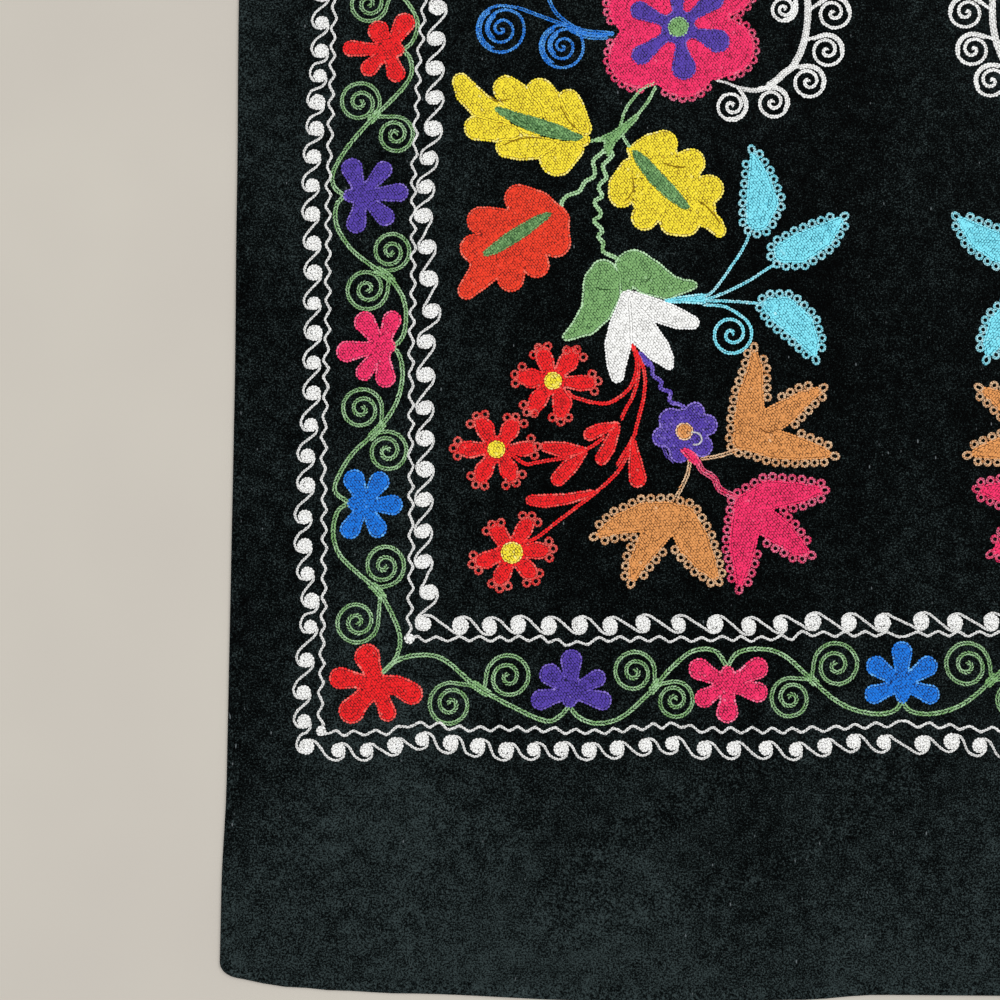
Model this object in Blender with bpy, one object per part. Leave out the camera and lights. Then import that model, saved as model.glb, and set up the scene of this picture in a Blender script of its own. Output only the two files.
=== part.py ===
"""Embroidered velvet panel: one hemmed rectangle of cloth lying flat on a surface.

Units are metres and +Z is up. X runs across the width and Y along the length. The origin is
on the resting face, under the middle of the panel.
"""
import math

import bmesh
import bpy

# The rectangle as cut and hemmed
PANEL_WIDTH = 1.000
PANEL_LENGTH = 1.650
CORNER_RADIUS = 0.0125

# How it lies: the length leans a little to the right on its way up
SKEW = 0.011

# The field's thickness, and the turned hem's height at each distance in from the edge.
# The dip is the row of hem stitching.
CLOTH_THICKNESS = 0.0022
HEM_PROFILE = (
    # inset, height
    (0.0000, 0.0016),
    (0.0015, 0.0029),
    (0.0060, 0.0031),
    (0.0095, 0.0015),
    (0.0125, 0.0024),
    (0.0300, CLOTH_THICKNESS),
)

# Cells between the two hems, across and along
CELLS_ACROSS = 15
CELLS_ALONG = 25

# How far each edge stands out from the straight line (negative is drawn in). The left edge is
# listed by Y and the lower edge by X. The right and upper edges are the same, turned half round.
SIDE_EDGE = (
    # along, out
    (-0.825, 0.0024),
    (-0.750, 0.0024),
    (-0.665, 0.0001),
    (-0.380, 0.0000),
    (-0.230, 0.0013),
    (-0.080, 0.0028),
    (0.090, 0.0030),
    (0.260, 0.0010),
    (0.450, -0.0005),
    (0.640, 0.0010),
    (0.825, 0.0020),
)
END_EDGE = (
    # along, out
    (-0.500, -0.0170),
    (-0.450, -0.0093),
    (-0.415, -0.0067),
    (-0.370, -0.0046),
    (-0.220, 0.0008),
    (-0.150, 0.0019),
    (-0.075, 0.0001),
    (-0.020, -0.0035),
    (0.060, -0.0030),
    (0.150, 0.0000),
    (0.260, 0.0020),
    (0.380, -0.0010),
    (0.450, -0.0040),
    (0.500, -0.0080),
)
# How far inwards each edge's unevenness reaches before the cloth lies true
SIDE_REACH = 0.055
END_REACH = 0.170

# Low soft swells where the cloth doesn't quite touch down: middle, direction, size, height
SWELLS = (
    # x, y, turn in degrees, half length, half width, height
    (-0.130, -0.700, 24.0, 0.260, 0.070, 0.0016),
    (0.300, -0.430, 68.0, 0.240, 0.080, 0.0013),
    (-0.330, 0.330, -58.0, 0.260, 0.080, 0.0014),
    (0.160, 0.690, 12.0, 0.250, 0.075, 0.0017),
    (0.420, 0.180, 84.0, 0.200, 0.070, 0.0012),
)

VELVET_COLOUR = (0.004, 0.006, 0.0065, 1.0)
VELVET_ROUGHNESS = 0.92


def clear_scene():
    for old in list(bpy.data.objects):
        bpy.data.objects.remove(old, do_unlink=True)


def smooth_between(table, along):
    """Value at a place along a table of (along, value) rows, eased from row to row."""
    if along <= table[0][0]:
        return table[0][1]
    for (start, low), (end, high) in zip(table, table[1:]):
        if along <= end:
            share = (along - start) / (end - start)
            eased = share * share * (3.0 - 2.0 * share)
            return low + (high - low) * eased
    return table[-1][1]


def fade(distance, reach):
    """1 at the edge, easing to 0 where the edge's unevenness ends."""
    share = min(max(distance / reach, 0.0), 1.0)
    return (1.0 - share) ** 2


def stations(length, cells):
    """Grid lines across one direction: the hem's insets, even cells, the hem's insets."""
    insets = [inset for inset, height in HEM_PROFILE]
    inner = insets[-1]
    step = (length - 2.0 * inner) / cells
    middle = [inner + step * count for count in range(1, cells)]
    lines = insets + middle + [length - inset for inset in reversed(insets)]
    return [line - length / 2.0 for line in lines]


def round_corner(x, y):
    """Draws the square corner's grid lines in to arcs about the corner's centre."""
    across = abs(x) - (PANEL_WIDTH / 2.0 - CORNER_RADIUS)
    along = abs(y) - (PANEL_LENGTH / 2.0 - CORNER_RADIUS)
    if across <= 0.0 or along <= 0.0:
        return x, y
    shrink = max(across, along) / math.hypot(across, along)
    new_x = PANEL_WIDTH / 2.0 - CORNER_RADIUS + across * shrink
    new_y = PANEL_LENGTH / 2.0 - CORNER_RADIUS + along * shrink
    return math.copysign(new_x, x), math.copysign(new_y, y)


def lay(x, y):
    """Where a point of the cut rectangle comes to lie."""
    left = smooth_between(SIDE_EDGE, y) * fade(x + PANEL_WIDTH / 2.0, SIDE_REACH)
    right = smooth_between(SIDE_EDGE, -y) * fade(PANEL_WIDTH / 2.0 - x, SIDE_REACH)
    lower = smooth_between(END_EDGE, x) * fade(y + PANEL_LENGTH / 2.0, END_REACH)
    upper = smooth_between(END_EDGE, -x) * fade(PANEL_LENGTH / 2.0 - y, END_REACH)
    laid_y = y - lower + upper
    return x - left + right + SKEW * laid_y, laid_y


def swell_height(x, y):
    """How far the cloth stands off the surface there."""
    lift = 0.0
    for mid_x, mid_y, turn, half_length, half_width, height in SWELLS:
        cosine, sine = math.cos(math.radians(turn)), math.sin(math.radians(turn))
        run = ((x - mid_x) * cosine + (y - mid_y) * sine) / half_length
        side = ((y - mid_y) * cosine - (x - mid_x) * sine) / half_width
        away = math.hypot(run, side)
        if away < 1.0:
            lift += height * (1.0 - away * away) ** 2
    return lift


def velvet_material():
    material = bpy.data.materials.new("black_velvet")
    material.use_nodes = True
    shader = material.node_tree.nodes["Principled BSDF"]
    shader.inputs["Base Color"].default_value = VELVET_COLOUR
    shader.inputs["Roughness"].default_value = VELVET_ROUGHNESS
    shader.inputs["Metallic"].default_value = 0.0
    shader.inputs["Sheen Weight"].default_value = 0.4
    return material


def velvet_panel(collection):
    """A grid laid to the panel's outline, extruded down to its resting face."""
    columns = stations(PANEL_WIDTH, CELLS_ACROSS)
    rows = stations(PANEL_LENGTH, CELLS_ALONG)
    shape = bmesh.new()
    bmesh.ops.create_grid(
        shape, x_segments=len(columns) - 1, y_segments=len(rows) - 1, size=1.0
    )
    heights = {}
    for vert in shape.verts:
        column = round((vert.co.x + 1.0) / 2.0 * (len(columns) - 1))
        row = round((vert.co.y + 1.0) / 2.0 * (len(rows) - 1))
        x, y = columns[column], rows[row]
        inset = min(PANEL_WIDTH / 2.0 - abs(x), PANEL_LENGTH / 2.0 - abs(y))
        laid_x, laid_y = lay(*round_corner(x, y))
        lift = swell_height(laid_x, laid_y)
        vert.co = (laid_x, laid_y, lift)
        heights[vert] = lift + smooth_between(HEM_PROFILE, inset)
    resting = [vert for vert in shape.verts]
    grown = bmesh.ops.extrude_face_region(shape, geom=list(shape.faces), use_keep_orig=True)
    raised = [item for item in grown["geom"] if isinstance(item, bmesh.types.BMVert)]
    by_place = {(round(v.co.x, 6), round(v.co.y, 6)): v for v in resting}
    for vert in raised:
        below = by_place[(round(vert.co.x, 6), round(vert.co.y, 6))]
        vert.co.z = heights[below]
    bmesh.ops.recalc_face_normals(shape, faces=list(shape.faces))
    mesh = bpy.data.meshes.new("velvet_panel")
    shape.to_mesh(mesh)
    shape.free()
    mesh.shade_smooth()
    mesh.set_sharp_from_angle(angle=math.radians(40.0))
    mesh.materials.append(velvet_material())
    panel = bpy.data.objects.new("velvet_panel", mesh)
    collection.objects.link(panel)
    return panel


def main():
    clear_scene()
    collection = bpy.data.collections.new("suzani_textile")
    bpy.context.scene.collection.children.link(collection)
    velvet_panel(collection)


main()
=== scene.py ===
"""Dresses the embroidered panel: hemmed black velvet worked all over in chain stitch.

Places in the pattern are millimetres on the cloth as cut, x across and y along from its middle.
The lower left quarter is drawn out and the other three are its mirror images, apart from the two
waves, which run on all the way round. lay() takes a place to where the cloth lies, in metres.
"""

import math

import bpy
import numpy as np
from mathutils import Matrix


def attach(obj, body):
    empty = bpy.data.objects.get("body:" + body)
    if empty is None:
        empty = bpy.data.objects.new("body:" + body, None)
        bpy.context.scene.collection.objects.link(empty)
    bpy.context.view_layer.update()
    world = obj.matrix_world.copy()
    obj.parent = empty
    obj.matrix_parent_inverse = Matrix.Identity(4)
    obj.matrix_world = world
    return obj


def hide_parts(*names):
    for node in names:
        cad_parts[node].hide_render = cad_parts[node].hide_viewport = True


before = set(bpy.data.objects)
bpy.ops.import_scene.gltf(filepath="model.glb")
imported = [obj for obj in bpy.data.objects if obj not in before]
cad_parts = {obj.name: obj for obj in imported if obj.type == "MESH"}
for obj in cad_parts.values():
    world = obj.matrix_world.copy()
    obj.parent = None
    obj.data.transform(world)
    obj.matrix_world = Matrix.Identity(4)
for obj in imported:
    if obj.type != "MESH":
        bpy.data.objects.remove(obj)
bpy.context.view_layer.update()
bpy.ops.object.select_all(action="DESELECT")

# The cloth, in metres

PANEL_WIDTH, PANEL_LENGTH = 1.0, 1.65
HALF_WIDTH, HALF_LENGTH = PANEL_WIDTH / 2, PANEL_LENGTH / 2
CORNER_RADIUS = 0.0125
SKEW = 0.011
FIELD_CELL = 0.016
SMOOTHED_ANGLE = math.radians(50)
HEM_PROFILE = (
    # inset, height; the dip is the row of hem stitching
    (0, 0.0012), (0.0006, 0.0022), (0.0018, 0.0029), (0.004, 0.0031), (0.007, 0.0029),
    (0.0086, 0.002), (0.0095, 0.0015), (0.0104, 0.0019), (0.0125, 0.0024), (0.018, 0.0023),
    (0.03, 0.0022),
)
# How far the left edge stands out at each place along it, and the lower edge at each place across.
# The right and upper edges are the same, turned half round.
SIDE_EDGE = (
    (-0.825, 0.0024), (-0.75, 0.0024), (-0.665, 0.0001), (-0.38, 0), (-0.23, 0.0013),
    (-0.08, 0.0028), (0.09, 0.003), (0.26, 0.001), (0.45, -0.0005), (0.64, 0.001), (0.825, 0.002),
)
END_EDGE = (
    (-0.5, -0.017), (-0.45, -0.0093), (-0.415, -0.0067), (-0.37, -0.0046), (-0.22, 0.0008),
    (-0.15, 0.0019), (-0.075, 0.0001), (-0.02, -0.0035), (0.06, -0.003), (0.15, 0), (0.26, 0.002),
    (0.38, -0.001), (0.45, -0.004), (0.5, -0.008),
)
# How far in each edge's unevenness reaches
SIDE_REACH, END_REACH = 0.055, 0.17
SWELLS = (
    # x, y, turn in degrees, half length, half width, height
    (-0.13, -0.7, 24, 0.26, 0.07, 0.0016),
    (0.3, -0.43, 68, 0.24, 0.08, 0.0013),
    (-0.33, 0.33, -58, 0.26, 0.08, 0.0014),
    (0.16, 0.69, 12, 0.25, 0.075, 0.0017),
    (0.42, 0.18, 84, 0.2, 0.07, 0.0012),
)


def eased(table, along):
    """Values at places along a table of (along, value) rows, eased from row to row."""
    places, values = np.array(table).T
    row = np.clip(np.searchsorted(places, along) - 1, 0, len(places) - 2)
    share = np.clip((along - places[row]) / (places[row + 1] - places[row]), 0, 1)
    return values[row] + (values[row + 1] - values[row]) * share * share * (3 - 2 * share)


def lay(x, y):
    """Where places of the cut rectangle come to lie."""

    def pull(edge, along, inset, reach):
        return eased(edge, along) * (1 - np.clip(inset / reach, 0, 1)) ** 2

    left = pull(SIDE_EDGE, y, x + HALF_WIDTH, SIDE_REACH)
    right = pull(SIDE_EDGE, -y, HALF_WIDTH - x, SIDE_REACH)
    lower = pull(END_EDGE, x, y + HALF_LENGTH, END_REACH)
    upper = pull(END_EDGE, -x, HALF_LENGTH - y, END_REACH)
    laid_y = y - lower + upper
    return x - left + right + SKEW * laid_y, laid_y


def swell_height(x, y):
    """How far the cloth stands off the floor."""
    lift = np.zeros_like(x)
    for mid_x, mid_y, turn, half_length, half_width, height in SWELLS:
        cosine, sine = math.cos(math.radians(turn)), math.sin(math.radians(turn))
        run = ((x - mid_x) * cosine + (y - mid_y) * sine) / half_length
        side = ((y - mid_y) * cosine - (x - mid_x) * sine) / half_width
        lift += height * np.clip(1 - run * run - side * side, 0, None) ** 2
    return lift


def hem_height(x, y):
    """How thick the cloth is, by its distance from the nearest edge."""
    return eased(HEM_PROFILE, np.minimum(HALF_WIDTH - np.abs(x), HALF_LENGTH - np.abs(y)))


def round_corner(x, y):
    """Draws the square corners in to arcs."""
    corner_x, corner_y = HALF_WIDTH - CORNER_RADIUS, HALF_LENGTH - CORNER_RADIUS
    across, along = np.abs(x) - corner_x, np.abs(y) - corner_y
    straight = (across <= 0) | (along <= 0)
    shrink = np.maximum(across, along) / np.maximum(np.hypot(across, along), 1e-9)
    return (
        np.where(straight, x, np.copysign(corner_x + across * shrink, x)),
        np.where(straight, y, np.copysign(corner_y + along * shrink, y)),
    )


# Materials


def colour(code):
    """Linear colour of a #rrggbb screen colour."""
    parts = [int(code[i : i + 2], 16) / 255.0 for i in (1, 3, 5)]
    return (*(c / 12.92 if c < 0.04045 else ((c + 0.055) / 1.055) ** 2.4 for c in parts), 1.0)


def grey(level):
    return (level, level, level, 1.0)


class Finish:
    """A material, and short ways to add nodes to it and set its surface."""

    def __init__(self, name):
        self.material = bpy.data.materials.new(name)
        self.material.use_nodes = True
        self.nodes = self.material.node_tree.nodes
        self.links = self.material.node_tree.links

    def feed(self, node, values):
        """Gives a node's sockets their own numbers and colours, or other nodes' outputs."""
        for name, value in dict(values).items():
            if isinstance(value, bpy.types.NodeSocket):
                self.links.new(value, node.inputs[name])
            else:
                node.inputs[name].default_value = value

    def surface(self, values):
        self.feed(self.nodes["Principled BSDF"], values)

    def add(self, kind, values=(), **settings):
        node = self.nodes.new(kind)
        for name, value in settings.items():
            setattr(node, name, value)
        self.feed(node, values)
        return node

    def places(self, kind="Object"):
        return self.add("ShaderNodeTexCoord").outputs[kind]

    def attribute(self, name):
        return self.add("ShaderNodeAttribute", attribute_name=name).outputs["Fac"]

    def noise(self, where, scale, detail, rough=0.5):
        values = {"Vector": where, "Scale": scale, "Detail": detail, "Roughness": rough}
        return self.add("ShaderNodeTexNoise", values).outputs["Fac"]

    def ramp(self, value, *stops):
        node = self.add("ShaderNodeValToRGB", {"Fac": value})
        while len(node.color_ramp.elements) < len(stops):
            node.color_ramp.elements.new(0.5)
        for element, (place, shade) in zip(node.color_ramp.elements, stops):
            element.position = place
            element.color = shade
        return node.outputs["Color"]

    def maths(self, operation, first, second=0.0):
        return self.add("ShaderNodeMath", {0: first, 1: second}, operation=operation).outputs[0]

    def mix(self, share, first, second, blend="MIX"):
        values = {0: share, 6: first, 7: second}
        return self.add("ShaderNodeMix", values, data_type="RGBA", blend_type=blend).outputs[2]

    def blended(self, first, *others):
        """The sum of (value, share) pairs."""
        total = self.maths("MULTIPLY", *first)
        for part in others:
            total = self.maths("ADD", total, self.maths("MULTIPLY", *part))
        return total

    def bump(self, height, strength, distance, **under):
        values = {"Height": height, "Strength": strength, "Distance": distance, **under}
        return self.add("ShaderNodeBump", values).outputs["Normal"]


# Past these lines, in metres from the middle, the nap lies another way, and its sheen is painted
# in: the velvet is coloured lighter there
NAP_SHEEN_END, NAP_SHEEN_SIDE, NAP_SHEEN_MIDDLE = 0.6, 0.44, -0.16


def black_velvet():
    """Pile brushed in soft patches on a slant, with its own grain and a few pale hairs in it; the
    sheen on the patches, and towards the ends and sides, is painted in as lighter colour.
    """
    finish = Finish("black_velvet")
    where = finish.places()

    def combed(turn, stretch):
        values = {"Vector": where, "Rotation": (0, 0, turn), "Scale": (1, stretch, 1)}
        return finish.add("ShaderNodeMapping", values).outputs["Vector"]

    patches = finish.noise(combed(math.radians(-40), 0.45), 5, 4, 0.55)
    cloudy = finish.noise(where, 90, 4, 0.65)
    grain = finish.noise(where, 820, 2, 0.75)
    x, y, z = finish.add("ShaderNodeSeparateXYZ", {"Vector": where}).outputs
    # Painted sheen: the pile is coloured lighter the further it lies past those lines
    endward = finish.maths("SUBTRACT", finish.maths("ABSOLUTE", y), NAP_SHEEN_END)
    sideward = finish.maths("SUBTRACT", finish.maths("ABSOLUTE", x), NAP_SHEEN_SIDE)
    beyond = finish.maths("MAXIMUM", finish.maths("MAXIMUM", endward, sideward), NAP_SHEEN_MIDDLE)
    nap_and_sheen = finish.blended((patches, 0.2), (cloudy, 0.18), (grain, 0.62), (beyond, 0.2))
    tones = ((0.42, "#000000"), (0.52, "#060a0a"), (0.62, "#303a3a"))
    pile = finish.ramp(nap_and_sheen, *((place, colour(code)) for place, code in tones))
    hairs = finish.noise(combed(0.9, 0.35), 520, 0)
    hairs = finish.ramp(hairs, (0.85, grey(0)), (0.9, grey(1)))
    clouds = finish.bump(cloudy, 0.2, 0.0015, Normal=finish.bump(grain, 0.5, 0.0006))
    finish.surface({
        "Base Color": finish.mix(hairs, pile, colour("#5c6264")), "Roughness": 0.95,
        "Specular IOR Level": 0.03, "Sheen Weight": 0.05, "Sheen Roughness": 0.35,
        "Sheen Tint": colour("#8f9a9c"), "Normal": clouds,
    })
    return finish.material


def thread(name, deep, usual, bright):
    """Dyed floss: every stitch a little lighter or darker, with fine strands along it; the lighter
    tones of lines, rims and glints are painted sheen.
    """
    deep, usual, bright = colour(deep), colour(usual), colour(bright)
    finish = Finish(name)
    drift = finish.noise(finish.places(), 60, 2)
    # The tone attribute holds each stitch's own lightness and the painted sheen of lines, rims and
    # glints
    tone = finish.blended((finish.attribute("tone"), 0.72), (drift, 0.28))
    dye_and_sheen = finish.ramp(tone, (0.2, deep), (0.46, usual), (0.64, usual), (0.88, bright))
    strands = finish.add(
        "ShaderNodeTexWave",
        {
            "Vector": finish.places("UV"), "Scale": 7, "Distortion": 1.2, "Detail": 2,
            "Detail Scale": 2,
        },
        wave_type="BANDS",
        bands_direction="X",
    ).outputs["Fac"]
    lines = finish.ramp(strands, (0, grey(0.8)), (0.5, grey(1)))
    dye_and_sheen = finish.mix(1.0, dye_and_sheen, lines, "MULTIPLY")
    # The lower parts of a stitch lie in the shade of the ones round it
    shade = finish.ramp(finish.attribute("shade"), (0.42, grey(0)), (0.72, grey(1)))
    shaded = (*(0.45 * part for part in deep[:3]), 1.0)
    finish.surface({
        "Base Color": finish.mix(shade, dye_and_sheen, shaded), "Roughness": 0.65,
        "Specular IOR Level": 0.22, "Sheen Weight": 0.06, "Sheen Roughness": 0.4,
        "Sheen Tint": bright, "Normal": finish.bump(strands, 0.5, 0.0002),
    })
    return finish.material


VELVET = black_velvet()
DYES = (
    # thread, deep, usual and bright tone; sheen is painted towards the bright one, and the shade
    # between stitches as a darker share of the deep one
    ("white", "#dad8d3", "#fdfcf8", "#ffffff"),
    ("green", "#3a6634", "#82b26e", "#bce0b2"),
    ("red", "#8c0408", "#f8181c", "#f88478"),
    ("orange", "#9c1a06", "#f43c1e", "#ff9078"),
    ("yellow", "#b08a10", "#fce532", "#fff4a8"),
    ("pink", "#8e0834", "#fb2c68", "#ff90ae"),
    ("purple", "#1c1056", "#563eaa", "#9882dc"),
    ("blue", "#064090", "#0a78e2", "#70c0ff"),
    ("turquoise", "#3aa4bc", "#84e8f8", "#d0fbff"),
    ("tan", "#8c5424", "#e69a56", "#f8d4ac"),
)
THREADS = {name: thread(name + "_thread", *tones) for name, *tones in DYES}

# The velvet


def stations(length):
    """Grid lines across one direction: the hem's insets, even cells, the hem's insets."""
    insets = [inset for inset, height in HEM_PROFILE]
    cells = round((length - 2 * insets[-1]) / FIELD_CELL)
    middle = np.linspace(insets[-1], length - insets[-1], cells + 1)[1:-1]
    far = [length - inset for inset in reversed(insets)]
    return np.concatenate([insets, middle, far]) - length / 2


def lay_velvet():
    """A grid extruded to a closed sheet, its places then moved to where the cloth lies."""
    columns, rows = stations(PANEL_WIDTH), stations(PANEL_LENGTH)
    bpy.ops.mesh.primitive_grid_add(
        x_subdivisions=len(columns) - 1, y_subdivisions=len(rows) - 1, size=2
    )
    cloth = bpy.context.object
    cloth.name = cloth.data.name = "velvet"
    bpy.ops.object.mode_set(mode="EDIT")
    bpy.ops.mesh.select_all(action="SELECT")
    bpy.ops.mesh.extrude_region_move(TRANSFORM_OT_translate={"value": (0, 0, 1)})
    bpy.ops.mesh.select_all(action="SELECT")
    bpy.ops.mesh.normals_make_consistent(inside=False)
    bpy.ops.object.mode_set(mode="OBJECT")
    mesh = cloth.data
    spots = np.array([vert.co for vert in mesh.vertices])
    x, y = (
        lines[np.rint((spots[:, axis] + 1) / 2 * (len(lines) - 1)).astype(int)]
        for axis, lines in enumerate((columns, rows))
    )
    thickness = np.where(spots[:, 2] > 0.5, hem_height(x, y), 0)
    laid_x, laid_y = lay(*round_corner(x, y))
    laid = np.column_stack([laid_x, laid_y, swell_height(laid_x, laid_y) + thickness])
    mesh.vertices.foreach_set("co", laid.astype(np.float32).ravel())
    mesh.update()
    mesh.materials.append(VELVET)
    bpy.ops.object.shade_smooth_by_angle(angle=SMOOTHED_ANGLE)
    return cloth


velvet = lay_velvet()

# Chain stitch, in millimetres

ROW_WIDTH = 2.8
# Stitches are longer beyond the quarter that is drawn out and its near neighbours
PITCH_IN_VIEW, PITCH_BEYOND = 2.2, 2.9
VIEW_RIGHT, VIEW_TOP = 80, -80
# How far a stitch stands up, and how deep its foot sinks in the pile
STITCH_RISE, STITCH_SINK = 0.72, 0.18
# How much lighter than a filled shape a line's thread is painted, as sheen on the raised row
LINE_SHEEN = 0.18
# A chain's last stitch is held down: drawn back, shorter and narrower
LAST_BACK, LAST_LENGTH, LAST_WIDTH = 0.14, 0.73, 0.85
# Which way copies of the drawn quarter are turned, across and along
QUARTERS = ((1, 1), (-1, 1), (1, -1), (-1, -1))
MIDDLE_RIGHT, MIDDLE_TOP = ((1, 1), (1, -1)), ((1, 1), (-1, 1))
DRAWN_ONLY = ((1, 1),)
# How far the other quarters stray from mirror images, and how near to a middle line that eases off
STRAY, STRAY_EASE = 0.8, 90
# How much stitches differ by hand, as spreads: their turn in radians, places along in pitches and
# aside in millimetres, the rest as shares
TURN_SPREAD, ALONG_SPREAD, ASIDE_SPREAD = 0.05, 0.06, 0.08
WIDTH_SPREAD, RISE_SPREAD, TONE_SPREAD, SHADE_SPREAD = 0.05, 0.09, 0.08, 0.15
# A few stitches catch the light
GLINTING, GLINT = 0.05, 0.12
THREAD_ANGLE = math.radians(75)

# Strands of thread: where each corner of a small pyramid is drawn out to, in row widths across,
# pitches along and rises up, and how deep it lies in the shade of the next stitches there. A chain
# stitch has two that open like a V, a close one has two side by side, and a filled shape is one
# strand after another.
CORNERS = ((0, -1), (1, 0), (0, 1), (-1, 0), (0, 0))
CHAIN_STRAND = (
    # across, along, up, shade
    (-0.03, -0.52, 0.62, 0.4),
    (-0.09, 0.38, 0.05, 0.95),
    (-0.4, 0.88, 0.45, 0.4),
    (-0.5, 0.1, 0, 0.15),
    (-0.29, 0.14, 1, 0),
)
CLOSE_STRAND = (
    (-0.25, -1.22, 0.46, 1.35),
    (0.2, -0.24, 0.44, 1.2),
    (-0.25, 0.72, 0.46, 0.55),
    (-0.7, -0.26, 0.44, 0.45),
    (-0.25, -0.25, 1.35, 0),
)
FILL_STRAND = (
    (0, -0.99, 0.46, 1.2),
    (1, 0, 0.44, 1.05),
    (0, 0.99, 0.46, 0.45),
    (-1, 0, 0.44, 1.05),
    (0, 0, 1.45, 0),
)


def model_strand(table, side=1, stagger=0):
    """One strand, or with a side of -1 its mirror image, moved along by the stagger."""
    bpy.ops.mesh.primitive_cone_add(vertices=4, radius1=1, radius2=0, depth=1)
    strand = bpy.context.object
    shades = []
    for vert in strand.data.vertices:
        corner = (0, 0) if vert.co.z > 0 else (round(vert.co.x), round(vert.co.y))
        across, along, up, shade = table[CORNERS.index(corner)]
        vert.co = across, along, up
        shades.append(shade)
    bpy.ops.object.mode_set(mode="EDIT")
    bpy.ops.mesh.select_all(action="SELECT")
    bpy.ops.mesh.quads_convert_to_tris()
    bpy.ops.transform.resize(value=(side, 1, 1), center_override=(0, 0, 0))
    bpy.ops.transform.translate(value=(0, stagger, 0))
    bpy.ops.mesh.normals_make_consistent(inside=False)
    bpy.ops.object.mode_set(mode="OBJECT")
    corners = [vert.co[:] for vert in strand.data.vertices]
    faces = [face.vertices[:] for face in strand.data.polygons]
    bpy.data.objects.remove(strand, do_unlink=True)
    return corners, faces, shades


# Strand numbers: a stitch's left strand and then its right one
CHAIN, CLOSE, FILLING = (0, 1), (2, 3), (4,)
STRAND_CORNERS, STRAND_FACES, STRAND_SHADES = (
    np.array(part)
    for part in zip(
        model_strand(CHAIN_STRAND),
        model_strand(CHAIN_STRAND, -1),
        model_strand(CLOSE_STRAND),
        model_strand(CLOSE_STRAND, -1, 0.5),
        model_strand(FILL_STRAND),
    )
)
worked = {}


def even(path, step):
    """The path again, as places an even step apart."""
    path = np.asarray(path, float)
    run = np.concatenate([[0], np.cumsum(np.hypot(*np.diff(path[:, :2], axis=0).T))])
    at = np.linspace(0, run[-1], max(1, round(run[-1] / step)) + 1)
    return np.column_stack([np.interp(at, run, column) for column in path.T])


def smooth(points):
    """A smooth line through the points."""
    points = np.array(points, float)
    points = np.vstack([2 * points[0] - points[1], points, 2 * points[-1] - points[-2]])
    share = np.linspace(0, 1, 12, endpoint=False)[:, None]
    line = [
        start
        + 0.5 * share * (end - before)
        + share**2 * (before - 2.5 * start + 2 * end - 0.5 * after)
        + share**3 * (1.5 * start - 0.5 * before - 1.5 * end + 0.5 * after)
        for before, start, end, after in zip(points, points[1:], points[2:], points[3:])
    ]
    return even(np.concatenate([*line, points[-2:-1]]), 0.8)


def beside(path, offset):
    """The path moved sideways, to its left where the offset is positive."""
    heading = np.gradient(path, axis=0)
    heading /= np.maximum(np.hypot(*heading.T), 1e-9)[:, None]
    return path + np.column_stack([-heading[:, 1], heading[:, 0]]) * offset


def wander(x, y, across, along):
    """Hand work never mirrors exactly: the other quarters stray a little.

    They meet the drawn one on the middle lines, so nothing strays there.
    """
    if (across, along) == (1, 1):
        return x, y
    ease = np.clip(np.abs(x) / STRAY_EASE, 0, 1) * np.clip(np.abs(y) / STRAY_EASE, 0, 1) * STRAY
    stray_x = np.sin(x / 61 + 1.7 * across) + np.sin(y / 47 + 2.9 * along)
    stray_y = np.sin(y / 53 + 2.3 * across) + np.sin(x / 43 + 1.3 * along)
    return x + stray_x * ease, y + stray_y * ease


def work(piece, path, width=ROW_WIDTH, copies=QUARTERS, lift=LINE_SHEEN, pitch=PITCH_IN_VIEW,
         kind=CLOSE, raised=0, outward=0, spaced=True):
    """Works one row of stitches along a path, and its mirror images.

    Its thread is lighter by the lift, mostly painted sheen on lines, and its left strands by
    outward as well, a painted highlight on the outer edge of a shape's rim. Unless it is spaced,
    the path's own places are where its stitches end.
    """
    lifts, outwards = np.broadcast_to(lift, len(path)), np.broadcast_to(outward, len(path))
    for across, along in copies:
        x, y = wander(path[:, 0] * across, path[:, 1] * along, across, along)
        stops = np.column_stack([x, y, lifts, outwards])
        in_view = x.mean() < VIEW_RIGHT and y.mean() < VIEW_TOP
        if spaced or not in_view:
            stops = even(stops, pitch if in_view else pitch * PITCH_BEYOND / PITCH_IN_VIEW)
        step = np.diff(stops[:, :2], axis=0)
        length = np.hypot(*step.T)
        heading = step / length[:, None]
        middles = (stops[1:] + stops[:-1]) / 2
        places = middles[:, :2]
        same = np.ones(len(length))
        widths = same * width
        if kind == CHAIN:
            places[-1] -= heading[-1] * length[-1] * LAST_BACK
            length[-1] *= LAST_LENGTH
            widths[-1] *= LAST_WIDTH
        left = 1 if across * along > 0 else 0
        for side, strand in enumerate(kind):
            tones = middles[:, 2] + (middles[:, 3] if side == left else 0)
            row = (places, heading, length, widths, tones, same * strand, same * raised)
            worked.setdefault(piece, []).append(np.column_stack(row))


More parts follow.
